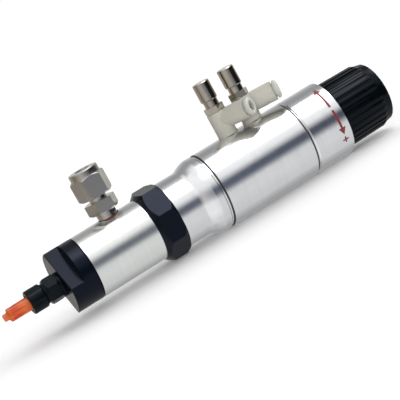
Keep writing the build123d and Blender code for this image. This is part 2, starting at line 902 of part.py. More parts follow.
# Return spring between the piston and the rear collar's pocket
spring_start = piston_rear + spring_wire_r + axial_play / 2
spring_length = pocket_bottom - piston_rear - 2 * spring_wire_r - axial_play
with BuildPart() as return_spring:
    with BuildLine():
        coil = Helix(
            spring_length / spring_turns,
            spring_length,
            spring_r - spring_wire_r,
            center=(spring_start, 0, 0),
            direction=(1, 0, 0),
        )
    with BuildSketch(Plane(origin=coil @ 0, x_dir=(0, 0, 1), z_dir=coil % 0)):
        Rectangle(2 * spring_wire_r, 2 * spring_wire_r)
    sweep(is_frenet=True)
save(return_spring.part, "return_spring")

# Stroke adjuster: stop pad, screw and knob
pad_stem_r = screw_nose_r / 2
pad_stem_end = screw_front + pad_stem_length
screw_rear = knob_rear - screw_cover
save(
    turned(
        [
            (bumper_front, 0),
            (bumper_front, bumper_r),
            (screw_front, bumper_r),
            (screw_front, pad_stem_r),
            (pad_stem_end, pad_stem_r),
            (pad_stem_end, 0),
        ]
    ),
    "stop_pad",
)
with BuildPart() as stroke_screw:
    with BuildSketch(Plane.XZ):
        with BuildLine():
            Polyline(
                (pad_stem_end + axial_play, 0),
                (pad_stem_end + axial_play, pad_stem_r + running),
                (screw_front, pad_stem_r + running),
                (screw_front, screw_r - edge),
                (screw_front + edge, screw_r),
                (screw_rear, screw_r),
                (screw_rear, 0),
                close=True,
            )
        make_face()
    revolve(axis=Axis.X)
save(stroke_screw.part, "stroke_screw")

# The knob's shell, boss on the screw, and fine ribs from its front edge to the crown
cavity_end = knob_front + knob_cavity_depth
cavity_r = hub_r + running
shoulder_x = knob_rear - knob_shoulder
crown_x = knob_rear - knob_crown_length
set_screw_angle = radians(knob_set_screw_turn)
set_screw_out = (0, cos(set_screw_angle), sin(set_screw_angle))
set_screw_plane = Plane(
    origin=((cavity_end + screw_rear) / 2, *(screw_r * part for part in set_screw_out[1:])),
    x_dir=(1, 0, 0),
    z_dir=set_screw_out,
).offset(seated)
with BuildPart() as stroke_knob:
    with BuildSketch(Plane.XZ):
        with BuildLine():
            shell = Polyline(
                (crown_x, knob_crown_r),
                (shoulder_x, knob_r - knob_taper),
                (knob_front, knob_r),
                (knob_front, cavity_r),
                (cavity_end, cavity_r),
                (cavity_end, screw_r + seated),
                (screw_rear + axial_play, screw_r + seated),
                (screw_rear + axial_play, 0),
                (knob_rear, 0),
                (knob_rear, knob_crown_r - knob_crown_round),
            )
            ThreePointArc(
                shell @ 1,
                (
                    knob_rear - knob_crown_length * knob_crown_bulge,
                    knob_crown_r - knob_crown_round * knob_crown_bulge,
                ),
                shell @ 0,
            )
        make_face()
    revolve(axis=Axis.X)
    with BuildSketch(Plane.YZ.offset(knob_front)):
        with PolarLocations(knob_r - rib_height, knob_ribs, rib_turn):
            Rectangle(4 * rib_height, rib_width)
    extrude(amount=shoulder_x + rib_end - knob_front)
    with BuildSketch(Plane.XZ):
        with BuildLine():
            Polyline(
                (knob_front, 0),
                (knob_front, knob_r + rib_height),
                (shoulder_x, knob_r - knob_taper + rib_height),
                (shoulder_x + rib_end, knob_r - knob_taper - rib_height / 2),
                (knob_rear, knob_crown_r),
                (knob_rear, 0),
                close=True,
            )
        make_face()
    revolve(axis=Axis.X, mode=Mode.INTERSECT)
    with BuildSketch(set_screw_plane):
        Circle(set_screw_r + seated)
    extrude(amount=2 * knob_r, mode=Mode.SUBTRACT)
save(stroke_knob.part, "stroke_knob")
with BuildPart() as set_screw:
    with BuildSketch(set_screw_plane):
        Circle(set_screw_r)
    extrude(amount=set_screw_length)
    with BuildSketch(set_screw_plane.offset(set_screw_length)):
        RegularPolygon(set_screw_r / 2, 6)
    extrude(amount=-set_screw_length / 3, mode=Mode.SUBTRACT)
save(set_screw.part, "knob_set_screw")

# Flow controls: each has a brass core in its port, an elbow that swivels on it, a lock nut, a knob
# with its needle, and a push-in end for the air tube
washer_top = port_face + washer_thickness
flange_top = washer_top + core_flange_thickness
lock_bottom = elbow_top + running
core_ring_heights = (arm_height - core_ring_from_arm, arm_height + core_ring_from_arm)
lock_top = lock_bottom + lock_thickness
collet_front = arm_length + collet_gap
sleeve_end = collet_front - collet_sleeve_length
tooth_ring_end = sleeve_end - axial_play - collet_gap
tooth_ring_start = tooth_ring_end - tooth_ring_length
for side, x in control_x.items():
    up = Axis((x, 0, 0), (0, 0, 1))
    turn = radians(arm_turns[side])
    out = Vector(cos(turn), sin(turn), 0)
    arm_plane = Plane(origin=(x, 0, arm_height), x_dir=out, z_dir=out.cross(Vector(0, 0, 1)))
    arm_axis = Axis((x, 0, arm_height), out)
    across = Plane(origin=(x, 0, arm_height), x_dir=(0, 0, 1), z_dir=out)

    with BuildPart() as port_washer:
        with BuildSketch(Plane.XY.offset(port_face)):
            with Locations((x, 0)):
                Circle(core_flange_r)
                Circle(port_r + seated, mode=Mode.SUBTRACT)
        extrude(amount=washer_thickness)
    save(port_washer.part, f"port_washer_{side}")

    with BuildPart() as control_core:
        with BuildSketch(Plane.XZ):
            with BuildLine():
                Polyline(
                    (x + core_bore_r, bore_r),
                    (x + port_r, bore_r),
                    (x + port_r, washer_top),
                    (x + core_flange_r, washer_top),
                    (x + core_flange_r, flange_top),
                    (x + core_r, flange_top),
                    (x + core_r, elbow_top),
                    (x + core_thread_r, elbow_top),
                    (x + core_thread_r, core_top),
                    (x + core_bore_r, core_top),
                    close=True,
                )
            make_face()
        revolve(axis=up)
        with BuildSketch(Plane.XZ):
            for height in core_ring_heights:
                with Locations((x + core_r, height)):
                    Rectangle(2 * core_ring, core_ring + axial_play)
        revolve(axis=up, mode=Mode.SUBTRACT)
        with BuildSketch(Plane.YZ.offset(x - core_r)):
            with Locations((0, arm_height)):
                Circle(core_window_r)
        extrude(amount=2 * core_r, mode=Mode.SUBTRACT)
    save(control_core.part, f"control_core_{side}")

    with BuildPart() as core_seals:
        with BuildSketch(Plane.XZ):
            for height in core_ring_heights:
                with Locations((x + core_r - core_ring / 2 + seated, height)):
                    RegularPolygon(core_ring / 2, 8, major_radius=False, rotation=octagon_turn)
        revolve(axis=up)
    save(core_seals.part, f"core_seals_{side}")

    with BuildPart() as elbow:
        with BuildSketch(Plane.XY.offset(elbow_bottom)):
            with Locations((x, 0)):
                Circle(elbow_r)
        extrude(amount=elbow_top - elbow_bottom)
        fillet(elbow.edges().sort_by(Axis.Z)[-1], rim_round)
        with BuildSketch(across):
            Circle(arm_r - arm_seam)
        extrude(amount=arm_root)
        with BuildSketch(across.offset(arm_root)):
            Circle(arm_r)
        extrude(amount=arm_length - arm_root)
        with BuildSketch(Plane.XY.offset(elbow_bottom)):
            with Locations((x, 0)):
                Circle(core_flange_r + running)
        extrude(amount=flange_top + axial_play - elbow_bottom, mode=Mode.SUBTRACT)
        with BuildSketch(Plane.XY.offset(elbow_bottom)):
            with Locations((x, 0)):
                Circle(core_r + running)
        extrude(amount=elbow_top - elbow_bottom, mode=Mode.SUBTRACT)
        with BuildSketch(across):
            Circle(core_window_r)
        extrude(amount=arm_length, mode=Mode.SUBTRACT)
        with BuildSketch(across.offset(arm_socket_start)):
            Circle(air_tube_r)
        extrude(amount=arm_length, mode=Mode.SUBTRACT)
        with BuildSketch(across.offset(arm_pocket_start)):
            Circle(arm_pocket_r)
        extrude(amount=arm_length, mode=Mode.SUBTRACT)
    save(elbow.part, f"elbow_{side}")

    inside = arm_pocket_r - seated
    way_r = air_tube_r + tube_way
    tube_seal = tube_outline(way_r, inside, arm_pocket_start, tooth_ring_start)
    save(turned(tube_seal, arm_axis, arm_plane), f"tube_seal_{side}")
    tooth_ring = tube_outline(way_r, inside, tooth_ring_start, tooth_ring_end)
    save(turned(tooth_ring, arm_axis, arm_plane), f"tooth_ring_{side}")
    save(
        turned(
            [
                (sleeve_end, way_r),
                (sleeve_end, collet_sleeve_r - edge),
                (sleeve_end + edge, collet_sleeve_r),
                (collet_front, collet_sleeve_r),
                (collet_front, collet_r),
                (collet_front + collet_length - collet_bevel, collet_r),
                (collet_front + collet_length, collet_r - collet_bevel),
                (collet_front + collet_length, way_r + edge),
                (collet_front + collet_length - edge, way_r),
            ],
            arm_axis,
            arm_plane,
        ),
        f"release_collet_{side}",
    )

    with BuildPart() as lock_nut_small:
        with BuildSketch(Plane.XY.offset(lock_bottom)):
            with Locations((x, 0)):
                RegularPolygon(lock_flats / sqrt(3), 6, rotation=lock_turns[side])
        extrude(amount=lock_thickness)
        with BuildSketch(Plane.XZ):
            with BuildLine():
                limits = (x, lock_flats, lock_bottom, lock_top, small_bevel, small_bevel)
                Polyline(*hexagon_limits(*limits), close=True)
            make_face()
        revolve(axis=up, mode=Mode.INTERSECT)
        with BuildSketch(Plane.XY.offset(lock_bottom)):
            with Locations((x, 0)):
                Circle(core_thread_r + running)
        extrude(amount=lock_thickness, mode=Mode.SUBTRACT)
    save(lock_nut_small.part, f"control_lock_nut_{side}")

    save(
        turned(
            [
                (x, core_top + axial_play),
                (x + core_thread_r + running, core_top + axial_play),
                (x + core_thread_r + running, lock_top + axial_play),
                (x + knob_neck_r, lock_top + axial_play),
                (x + knob_neck_r, knob_neck_top),
                (x + flow_knob_r - edge, knob_neck_top),
                (x + flow_knob_r, knob_neck_top + edge),
                (x + flow_knob_r, flow_knob_top - edge),
                (x + flow_knob_r - edge, flow_knob_top),
                (x, flow_knob_top),
            ],
            up,
        ),
        f"flow_knob_{side}",
    )
    save(
        turned(
            [
                (x, port_face),
                (x + needle_r / 4, port_face),
                (x + needle_r, arm_height - core_window_r),
                (x + needle_r, core_top + axial_play),
                (x, core_top + axial_play),
            ],
            up,
        ),
        f"flow_needle_{side}",
    )
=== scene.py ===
from math import cos, pi, radians, sin

import bmesh
import bpy
from mathutils import Matrix, Vector


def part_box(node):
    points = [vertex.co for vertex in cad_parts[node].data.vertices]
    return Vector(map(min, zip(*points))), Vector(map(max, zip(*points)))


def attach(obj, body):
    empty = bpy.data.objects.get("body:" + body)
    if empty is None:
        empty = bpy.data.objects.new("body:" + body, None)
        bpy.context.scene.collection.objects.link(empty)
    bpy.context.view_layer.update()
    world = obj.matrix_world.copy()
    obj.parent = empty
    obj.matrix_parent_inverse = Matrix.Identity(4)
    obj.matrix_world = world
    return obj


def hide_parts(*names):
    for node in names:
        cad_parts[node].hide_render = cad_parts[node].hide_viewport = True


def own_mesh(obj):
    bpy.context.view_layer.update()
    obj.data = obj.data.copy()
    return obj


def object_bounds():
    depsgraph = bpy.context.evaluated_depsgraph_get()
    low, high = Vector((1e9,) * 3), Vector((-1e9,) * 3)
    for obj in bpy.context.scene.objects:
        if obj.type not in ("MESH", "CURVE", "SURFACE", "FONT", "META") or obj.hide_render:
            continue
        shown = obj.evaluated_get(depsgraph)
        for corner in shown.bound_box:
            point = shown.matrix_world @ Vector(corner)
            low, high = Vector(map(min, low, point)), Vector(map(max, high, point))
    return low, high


# The looks of a pneumatic dispensing valve: turned aluminium, black anodised rings, a stainless
# inlet fitting, two flow controls with nickel-plated knobs, a black stroke knob and an orange tip cap.
# X runs along the valve, the outlet at -X, and Z is up. Every length is in metres.

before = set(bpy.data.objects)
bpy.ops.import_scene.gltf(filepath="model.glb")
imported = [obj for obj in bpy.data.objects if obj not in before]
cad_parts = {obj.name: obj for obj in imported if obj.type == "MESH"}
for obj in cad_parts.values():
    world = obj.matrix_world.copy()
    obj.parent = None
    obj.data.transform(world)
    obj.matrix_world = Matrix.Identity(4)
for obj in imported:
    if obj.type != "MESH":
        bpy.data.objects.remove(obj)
cad_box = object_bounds()
mm = 0.001

# Camera: seen from the front left, a little above, and rolled so that the valve climbs to the right
picture_side = 400
view_azimuth = -16.215
view_elevation = 9.0
view_roll = -28.9965
view_distance = 733.08 * mm
view_aim = Vector((-62.74, -1.38, -0.39)) * mm
focal_pixels = 1688.4
sensor_width = 36.0
view_near = 0.01
view_far = 20

# Light: the even light around, less on the right, and what the metal passes on of what it mirrors
world_level = 0.1
right_share = 0.45
metal_glow = 0.3
white = (1.0, 1.0, 1.0)

# Table: its half side, how far it lies below the valve, and the white it adds for the camera
table_half = 0.8
table_gap = 0.02 * mm
table_paper = (0.93, 0.93, 0.935)
table_glow = 0.14

# Collar: the direction marks printed on it
collar_low, collar_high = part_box("rear_collar")
body_r = collar_high.z
print_gap = 0.002 * mm
print_thickness = 0.01 * mm
print_step = 0.35 * mm
print_x = 5.0 * mm
print_line = 1.1 * mm
plus_line = 0.75 * mm
arrow_head_length = 3.4 * mm
arrow_head_width = 3.6 * mm

# Seams: where the main tube meets its neighbours, and the painted shade, a dark line in each groove
seams = [corner.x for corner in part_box("cylinder_tube")]
seam_offsets = (0.05 * mm, 0.45 * mm)
seam_half = 0.3 * mm
seam_fade = 0.1 * mm
seam_shade_strength = 0.92
seam_shade_colour = (0.03, 0.032, 0.04)

# Edges: the rounded edges of the pieces that catch the light on theirs
edge_angle = 28.0
edge_segments = 2
edge_weld = 0.001 * mm
edge_widths = {
    "stroke_knob": 0.25 * mm,
    "luer_collar": 0.12 * mm,
    "luer_adapter": 0.12 * mm,
    "inlet_nut": 0.22 * mm,
}

# Tip cap: its solid core, from the tip, and how far the deeper colour reaches from there
core_from_tip = 5.5 * mm
core_near = 1.0 * mm
core_far = 4.0 * mm

# Return spring: its round wire, its turns, and the steps and sides of the coil's mesh
spring_wire = 0.75 * mm
spring_turns = 4.5
spring_steps = 180
spring_sides = 10

# The studio as the metal mirrors it: how light it is by height in degrees, in front, to the front
# left and behind. Pale table below, a big diffuser above, and behind it the darker gap above a pale wall
front_tones = [
    (-90, 0.66), (-75, 0.64), (-60, 0.68), (-45, 0.72), (-15, 0.72), (0, 0.6), (15, 0.64),
    (21, 0.72), (27, 0.86), (33, 0.95), (46, 1.06), (53, 2.6), (58, 4.5), (68, 4.5), (76, 3.0),
    (82, 1.2), (90, 1.02),
]
left_tones = [
    (-90, 0.66), (-70, 0.74), (-60, 0.84), (-50, 0.92), (-15, 0.9), (0, 0.75), (15, 0.72),
    (27, 0.9), (33, 0.98), (60, 1.05), (75, 0.95), (90, 1.05),
]
rear_tones = [
    (-90, 0.66), (-75, 0.58), (-65, 0.5), (-55, 0.42), (-45, 0.36), (-25, 0.4), (-10, 0.55),
    (0, 0.64), (12, 0.62), (20, 0.52), (30, 0.42), (42, 0.33), (55, 0.33), (62, 0.42), (70, 0.7),
    (80, 0.95), (90, 1.05),
]
# At eye level the room shows between table and diffuser: its colours by direction in degrees, 0 in
# front and 90 to the valve's rear, then how much of it shows by height
room_tones = [
    (-180, (0.62, 0.60, 0.56)), (-150, (0.50, 0.46, 0.40)), (-125, (0.38, 0.33, 0.27)),
    (-105, (0.22, 0.185, 0.145)), (-85, (0.30, 0.26, 0.21)), (-60, (0.50, 0.46, 0.40)),
    (-40, (0.56, 0.55, 0.53)), (-22, (0.42, 0.42, 0.42)), (-4, (0.27, 0.275, 0.285)),
    (8, (0.16, 0.175, 0.20)), (19, (0.10, 0.115, 0.16)), (27, (0.02, 0.02, 0.022)),
    (85, (0.01, 0.01, 0.01)), (98, (0.08, 0.08, 0.08)), (112, (0.32, 0.31, 0.29)),
    (125, (0.58, 0.56, 0.52)), (160, (0.72, 0.72, 0.69)), (180, (0.62, 0.60, 0.56)),
]
room_share = [
    (-20, 0), (-16, 0.2), (-12, 0.45), (-8, 0.72), (-3, 0.95), (0, 1), (10, 1), (13, 0.8),
    (17, 0.45), (21, 0.2), (27, 0),
]
# On the dark right-hand side the room reaches further down
dark_foot = [(-24, 0), (-19, 0.5), (-15, 0.75), (-12, 0.55), (-8, 0.28), (-3, 0.05), (0, 0)]
# The brightest tone of these lists
brightest = 4.5
# Directions in degrees between which one part of the studio turns into the next
left_starts, left_ends = 6, -18
rear_starts, rear_ends = 95, 122
dark_starts, dark_ends = 22, 30
dark_stops, dark_stopped = 95, 112
plain_falls, plain_fallen = -10, 40
plain_rises, plain_risen = 100, 150


class Wire:
    """One output of a finish's nodes. Arithmetic on it adds Math nodes."""

    def __init__(self, finish, socket):
        self.finish = finish
        self.socket = socket

    def __add__(self, other):
        return self.finish.math("ADD", self, other)

    def __sub__(self, other):
        return self.finish.math("SUBTRACT", self, other)

    def __rsub__(self, other):
        return self.finish.math("SUBTRACT", other, self)

    def __mul__(self, other):
        return self.finish.math("MULTIPLY", self, other)

    __radd__ = __add__
    __rmul__ = __mul__


class Finish:
    """The node tree of one finish, built up a node at a time."""

    def __init__(self, tree):
        self.tree = tree
        tree.nodes.clear()

    def node(self, kind, settings=None, inputs=None, output=None):
        """Add a node of that kind: its settings first, then a value or a wire for each input."""
        made = self.tree.nodes.new(kind)
        for name, value in (settings or {}).items():
            if name == "stops":
                ramp = made.color_ramp.elements
                while len(ramp) < len(value):
                    ramp.new(0.5)
                for element, (place, colour) in zip(ramp, value):
                    element.position = place
                    element.color = (*colour, 1.0)
            else:
                setattr(made, name, value)
        sockets = {socket.identifier: socket for socket in made.inputs}
        for name, value in (inputs or {}).items():
            if isinstance(value, Wire):
                self.tree.links.new(value.socket, sockets[name])
            elif isinstance(value, tuple) and len(value) == 3 and sockets[name].type == "RGBA":
                sockets[name].default_value = (*value, 1.0)
            else:
                sockets[name].default_value = value
        outputs = {socket.identifier: socket for socket in made.outputs}
        first = next(iter(made.outputs), None)
        return Wire(self, outputs.get(output, first))

    def math(self, operation, first, second=0.0):
        inputs = {"Value": first, "Value_001": second}
        return self.node("ShaderNodeMath", {"operation": operation}, inputs)

    def blend(self, share, first, second):
        """The first colour where share is 0, the second where it is 1."""
        inputs = {"Factor_Float": share, "A_Color": first, "B_Color": second}
        return self.node("ShaderNodeMix", {"data_type": "RGBA"}, inputs, "Result_Color")

    def place(self):
        """The point in the valve's own frame, in metres."""
        return self.node("ShaderNodeTexCoord", output="Object")

    def outputs(self, wire, *names):
        """Several outputs of the node that a wire comes from, by name."""
        return [Wire(self, wire.socket.node.outputs[name]) for name in names]

    def parts(self, vector):
        """The X, Y and Z of a vector."""
        split = self.node("ShaderNodeSeparateXYZ", inputs={"Vector": vector})
        return self.outputs(split, "X", "Y", "Z")

    def noise(self, size, detail=2.0, stretch=(1.0, 1.0, 1.0)):
        """Soft noise from 0 to 1 with features of that size, in metres, drawn out by stretch."""
        scale = tuple(1 / (size * factor) for factor in stretch)
        settings = {"operation": "MULTIPLY"}
        scaled = {"Vector": self.place(), "Vector_001": scale}
        point = self.node("ShaderNodeVectorMath", settings, scaled)
        inputs = {"Vector": point, "Scale": 1.0, "Detail": detail, "Roughness": 0.55}
        return self.node("ShaderNodeTexNoise", inputs=inputs, output="Fac")

    def spread(self, value, low, high, to_low=0.0, to_high=1.0):
        """Map a value from one range to another, kept inside it."""
        inputs = {"Value": value, "From Min": low, "From Max": high}
        inputs |= {"To Min": to_low, "To Max": to_high}
        return self.node("ShaderNodeMapRange", {"clamp": True}, inputs)

    def relief(self, height, depth):
        """A bump of that depth in metres."""
        return self.node("ShaderNodeBump", inputs={"Strength": 1.0, "Distance": depth, "Height": height})


def surface(name, build):
    """A material whose Principled shader takes what build(finish) returns for each of its sockets."""
    material = bpy.data.materials.new(name)
    material.use_nodes = True
    finish = Finish(material.node_tree)
    shader = finish.node("ShaderNodeBsdfPrincipled", inputs=build(finish))
    finish.node("ShaderNodeOutputMaterial", inputs={"Surface": shader})
    return material


def seam_painted_shade(finish):
    """Painted shade: how dark the grooves between the tubes are painted, standing in for the shade that
    falls in them.
    """
    along = finish.parts(finish.place())[0]
    first, second = (
        finish.math("ABSOLUTE", along - (seam + offset)) for seam, offset in zip(seams, seam_offsets)
    )
    nearest = finish.math("MINIMUM", first, second)
    return finish.spread(nearest, seam_half, seam_half + seam_fade, seam_shade_strength, 0.0)


def turned_metal(name, colour, roughness, streaks=1.0):
    """Bright metal turned on a lathe about the valve's axis: fine rings, faint streaks and handling, with
    shade painted dark into the grooves at the seams.
    """

    def build(finish):
        fine = finish.noise(0.35 * mm, 3.0, (1.0, 60.0, 60.0))
        broad = finish.noise(1.6 * mm, 2.0, (1.0, 25.0, 25.0))
        cloud = finish.noise(14 * mm, 3.0)
        marks = finish.spread(fine * 0.6 + broad * 0.4, 0.36, 0.64)
        tone = finish.spread(cloud, 0.3, 0.7, 0.0, 0.35) + marks * 0.25
        dull = tuple(part * 0.88 for part in colour)
        # Painted shade: in the grooves at the seams the colour turns to the dark seam colour and the
        # roughness rises
        groove_shade = seam_painted_shade(finish)
        smooth, rough = roughness - 0.04 * streaks, roughness + 0.05 * streaks
        turned = finish.spread(marks, 0.0, 1.0, smooth, rough)
        return {
            "Base Color": finish.blend(groove_shade, finish.blend(tone, colour, dull), seam_shade_colour),
            "Metallic": 1.0,
            "Roughness": turned + finish.spread(cloud, 0.4, 0.8, 0.0, 0.05) + groove_shade * 0.3,
            "Normal": finish.relief(fine, 0.0015 * mm * streaks),
        }

    return surface(name, build)


def anodised(name, colour, roughness):
    """Black anodised aluminium: a clear glassy layer over a near-black matt ground."""

    def build(finish):
        grain = finish.noise(0.12 * mm, 2.0)
        cloud = finish.noise(9 * mm, 3.0)
        lighter = tuple(part * 1.5 for part in colour)
        return {
            "Base Color": finish.blend(finish.spread(cloud, 0.35, 0.75), colour, lighter),
            "Roughness": finish.spread(cloud, 0.3, 0.7, roughness - 0.03, roughness + 0.05),
            "IOR": 1.3,
            "Specular Tint": (0.65, 0.7, 1.0, 1.0),
            "Normal": finish.relief(grain, 0.001 * mm),
        }

    return surface(name, build)


def plated(name, colour, dull, roughness, size=5 * mm):
    """Plated or machined small metal: even, with slight mottling and rubbed places."""

    def build(finish):
        cloud = finish.noise(size, 4.0)
        grain = finish.noise(0.25 * mm, 2.0)
        rubbed = cloud * 0.6 + grain * 0.4
        return {
            "Base Color": finish.blend(finish.spread(cloud, 0.3, 0.7), colour, dull),
            "Metallic": 1.0,
            "Roughness": finish.spread(rubbed, 0.35, 0.65, roughness - 0.04, roughness + 0.07),
            "Normal": finish.relief(grain, 0.001 * mm),
        }

    return surface(name, build)


def moulded(name, colour, deep, roughness, skin=0.004 * mm, extra=None):
    """Moulded plastic or rubber: a colour that clouds a little and a fine skin."""

    def build(finish):
        cloud = finish.noise(4 * mm, 3.0)
        grain = finish.noise(0.2 * mm, 2.0)
        worn = grain * 0.5 + cloud * 0.5
        sockets = {
            "Base Color": finish.blend(finish.spread(cloud, 0.3, 0.75), colour, deep),
            "Roughness": finish.spread(worn, 0.3, 0.7, roughness - 0.05, roughness + 0.06),
            "Normal": finish.relief(grain, skin),
        }
        return sockets | (extra or {})

    return surface(name, build)


def glossy_black(name, colour, deep, roughness, skin):
    """Black moulded plastic whose skin mirrors faintly, with a bluish tinge."""
    shine = {"IOR": 1.24, "Specular Tint": (0.8, 0.85, 1.0, 1.0)}
    return moulded(name, colour, deep, roughness, skin, shine)


def tinted_clear(name, pale, deep):
    """Clear tinted plastic: it looks deeper in colour where it is thick, round its solid core."""
    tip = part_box("tip_cap")[0]

    def build(finish):
        along = finish.parts(finish.place())[0]
        from_core = finish.math("ABSOLUTE", along - (tip.x + core_from_tip))
        ribs = finish.noise(1.1 * mm, 2.0, (4.0, 1.0, 1.0))
        core = finish.spread(from_core, core_near, core_far, 0.75, 0.25)
        thick = core + finish.spread(ribs, 0.4, 0.65, -0.2, 0.35)
        return {
            "Base Color": finish.blend(finish.math("MAXIMUM", thick, 0.0), pale, deep),
            "Roughness": finish.spread(ribs, 0.3, 0.7, 0.18, 0.3),
            "Normal": finish.relief(ribs, 0.03 * mm),
            "Subsurface Weight": 0.35,
            "Subsurface Radius": (0.002, 0.0008, 0.0003),
            "Subsurface Scale": 1.0,
        }

    return surface(name, build)


silver = turned_metal("turned_aluminium", (0.88, 0.89, 0.91), 0.13)
fluid_silver = turned_metal("polished_fluid_tube", (0.90, 0.92, 0.905), 0.2, 0.7)
inside_silver = turned_metal("machined_piston", (0.80, 0.81, 0.82), 0.25)
black_metal = anodised("black_anodised", (0.0005, 0.002, 0.004), 0.2)
stainless = plated("stainless_steel", (0.60, 0.585, 0.56), (0.54, 0.525, 0.50), 0.2)
nickel = plated("nickel_plate", (0.60, 0.56, 0.50), (0.54, 0.50, 0.44), 0.10, 3 * mm)
steel_rod = plated("ground_steel", (0.75, 0.76, 0.78), (0.68, 0.69, 0.71), 0.15)
spring_steel = plated("spring_steel", (0.45, 0.45, 0.47), (0.35, 0.35, 0.37), 0.3)
brass = plated("brass", (0.72, 0.55, 0.25), (0.60, 0.44, 0.18), 0.2)
bronze = plated("bronze_bush", (0.55, 0.36, 0.18), (0.42, 0.27, 0.13), 0.35)
knob_black = glossy_black(
    "glossy_black_plastic", (0.0008, 0.0022, 0.003), (0.0015, 0.003, 0.004), 0.13, 0.002 * mm
)
luer_black = glossy_black(
    "black_nylon", (0.0015, 0.004, 0.005), (0.003, 0.006, 0.007), 0.2, 0.003 * mm
)
elbow_grey = moulded("grey_beige_plastic", (0.56, 0.545, 0.475), (0.52, 0.505, 0.435), 0.45)
collet_grey = moulded("pale_release_ring", (0.55, 0.55, 0.51), (0.50, 0.50, 0.45), 0.42)
orange = tinted_clear("clear_orange_plastic", (0.74, 0.17, 0.03), (0.55, 0.05, 0.012))
black_rubber = moulded("black_rubber", (0.008, 0.008, 0.009), (0.014, 0.014, 0.015), 0.55)
red_rubber = moulded("red_gasket", (0.13, 0.01, 0.01), (0.08, 0.006, 0.006), 0.55)
white_plastic = moulded("white_seat_plastic", (0.80, 0.80, 0.77), (0.72, 0.72, 0.68), 0.4)
red_print = moulded("red_print", (0.21, 0.025, 0.03), (0.19, 0.025, 0.03), 0.4)

finishes = {
    silver: "front_housing cylinder_tube rear_collar",
    fluid_silver: "fluid_body",
    inside_silver: "piston",
    black_metal: "nose_cap lock_nut",
    stainless: "inlet_body inlet_nut front_ferrule back_ferrule seal_gland",
    nickel: "control_lock_nut_front control_lock_nut_rear flow_knob_front flow_knob_rear",
    steel_rod: "piston_rod poppet stroke_screw flow_needle_front flow_needle_rear",
    spring_steel: "return_spring seal_clip piston_nut knob_set_screw tooth_ring_front tooth_ring_rear",
    brass: "control_core_front control_core_rear",
    bronze: "rod_bush",
    knob_black: "stroke_knob",
    luer_black: "luer_collar luer_adapter",
    elbow_grey: "elbow_front elbow_rear",
    collet_grey: "release_collet_front release_collet_rear",
    orange: "tip_cap",
    red_rubber: "inlet_gasket",
    white_plastic: "valve_seat",
    black_rubber: (
        "nose_seal fluid_seal air_seal front_tube_seal rear_tube_seal screw_seal knob_drag_ring"
        " piston_seal stop_pad port_washer_front port_washer_rear core_seals_front core_seals_rear"
        " tube_seal_front tube_seal_rear"
    ),
}


def dress_nodes():
    """Give every CAD node its finish."""
    for material, names in finishes.items():
        for name in names.split():
            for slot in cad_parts[name].material_slots:
                slot.material = material


def round_edges(name, width):
    """Small rounded edges on a ribbed or six-sided piece, which catch the light."""
    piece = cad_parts[name]
    weld = piece.modifiers.new("join_corners", "WELD")
    weld.merge_threshold = edge_weld
    edge = piece.modifiers.new("rounded_edges", "BEVEL")
    edge.width = width
    edge.segments = edge_segments
    edge.limit_method = "ANGLE"
    edge.angle_limit = radians(edge_angle)


def put_in_scene(name, mesh, material, smooth=False):
    """Turn a finished bmesh into an object of the scene."""
    shape = bpy.data.meshes.new(name)
    mesh.to_mesh(shape)
    mesh.free()
    shape.polygons.foreach_set("use_smooth", [smooth] * len(shape.polygons))
    shape.materials.append(material)
    piece = bpy.data.objects.new(name, shape)
    bpy.context.scene.collection.objects.link(piece)
    return piece


def coil_spring(name, node):
    """The return spring as a round wire coil, riding with the valve body."""
    low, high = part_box(node)
    radius = high.y - spring_wire
    length = high.x - low.x - 2 * spring_wire
    mesh = bmesh.new()
    rings = []
    for step in range(spring_steps + 1):
        share = step / spring_steps
        turn = 2 * pi * spring_turns * share
        ring = []
        for side in range(spring_sides):
            lean = 2 * pi * side / spring_sides
            out = radius + spring_wire * cos(lean)
            x = low.x + spring_wire + length * share + spring_wire * sin(lean)
            ring.append(mesh.verts.new((x, out * cos(turn), out * sin(turn))))
        rings.append(ring)
    for first, second in zip(rings, rings[1:]):
        for side in range(spring_sides):
            after = (side + 1) % spring_sides
            mesh.faces.new((first[side], first[after], second[after], second[side]))
    mesh.faces.new(rings[0])
    mesh.faces.new(list(reversed(rings[-1])))
    bmesh.ops.recalc_face_normals(mesh, faces=mesh.faces[:])
    coil = put_in_scene(name, mesh, spring_steel, smooth=True)
    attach(coil, "valve_body")
    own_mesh(coil)
    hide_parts(node)


def print_on_collar(name, outline):
    """A mark printed round the collar: outline is (x, distance up round the collar from level)."""
    mesh = bmesh.new()
    mesh.faces.new([mesh.verts.new((x, round_way, 0)) for x, round_way in outline])
    low = min(point[1] for point in outline)
    high = max(point[1] for point in outline)
    cut = low + print_step
    while cut < high:
        parts = mesh.verts[:] + mesh.edges[:] + mesh.faces[:]
        bmesh.ops.bisect_plane(mesh, geom=parts, plane_co=(0, cut, 0), plane_no=(0, 1, 0))
        cut += print_step
    made = bmesh.ops.extrude_face_region(mesh, geom=mesh.faces[:])
    for vert in (part for part in made["geom"] if isinstance(part, bmesh.types.BMVert)):
        vert.co.z += print_thickness
    bmesh.ops.recalc_face_normals(mesh, faces=mesh.faces[:])
    for vert in mesh.verts:
        x, round_way, lift = vert.co
        radius = body_r + print_gap + lift
        vert.co = (x, -radius * cos(round_way / body_r), radius * sin(round_way / body_r))
    piece = put_in_scene(name, mesh, red_print)
    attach(piece, "valve_body")


def arrow_outline(start, tip):
    """A straight arrow along the collar's round way, from start to its tip."""
    way = 1 if tip > start else -1
    neck = tip - way * arrow_head_length
    half_line = print_line / 2
    half_head = arrow_head_width / 2
    return [
        (print_x - half_line, start),
        (print_x + half_line, start),
        (print_x + half_line, neck),
        (print_x + half_head, neck),
        (print_x, tip),
        (print_x - half_head, neck),
        (print_x - half_line, neck),
    ]


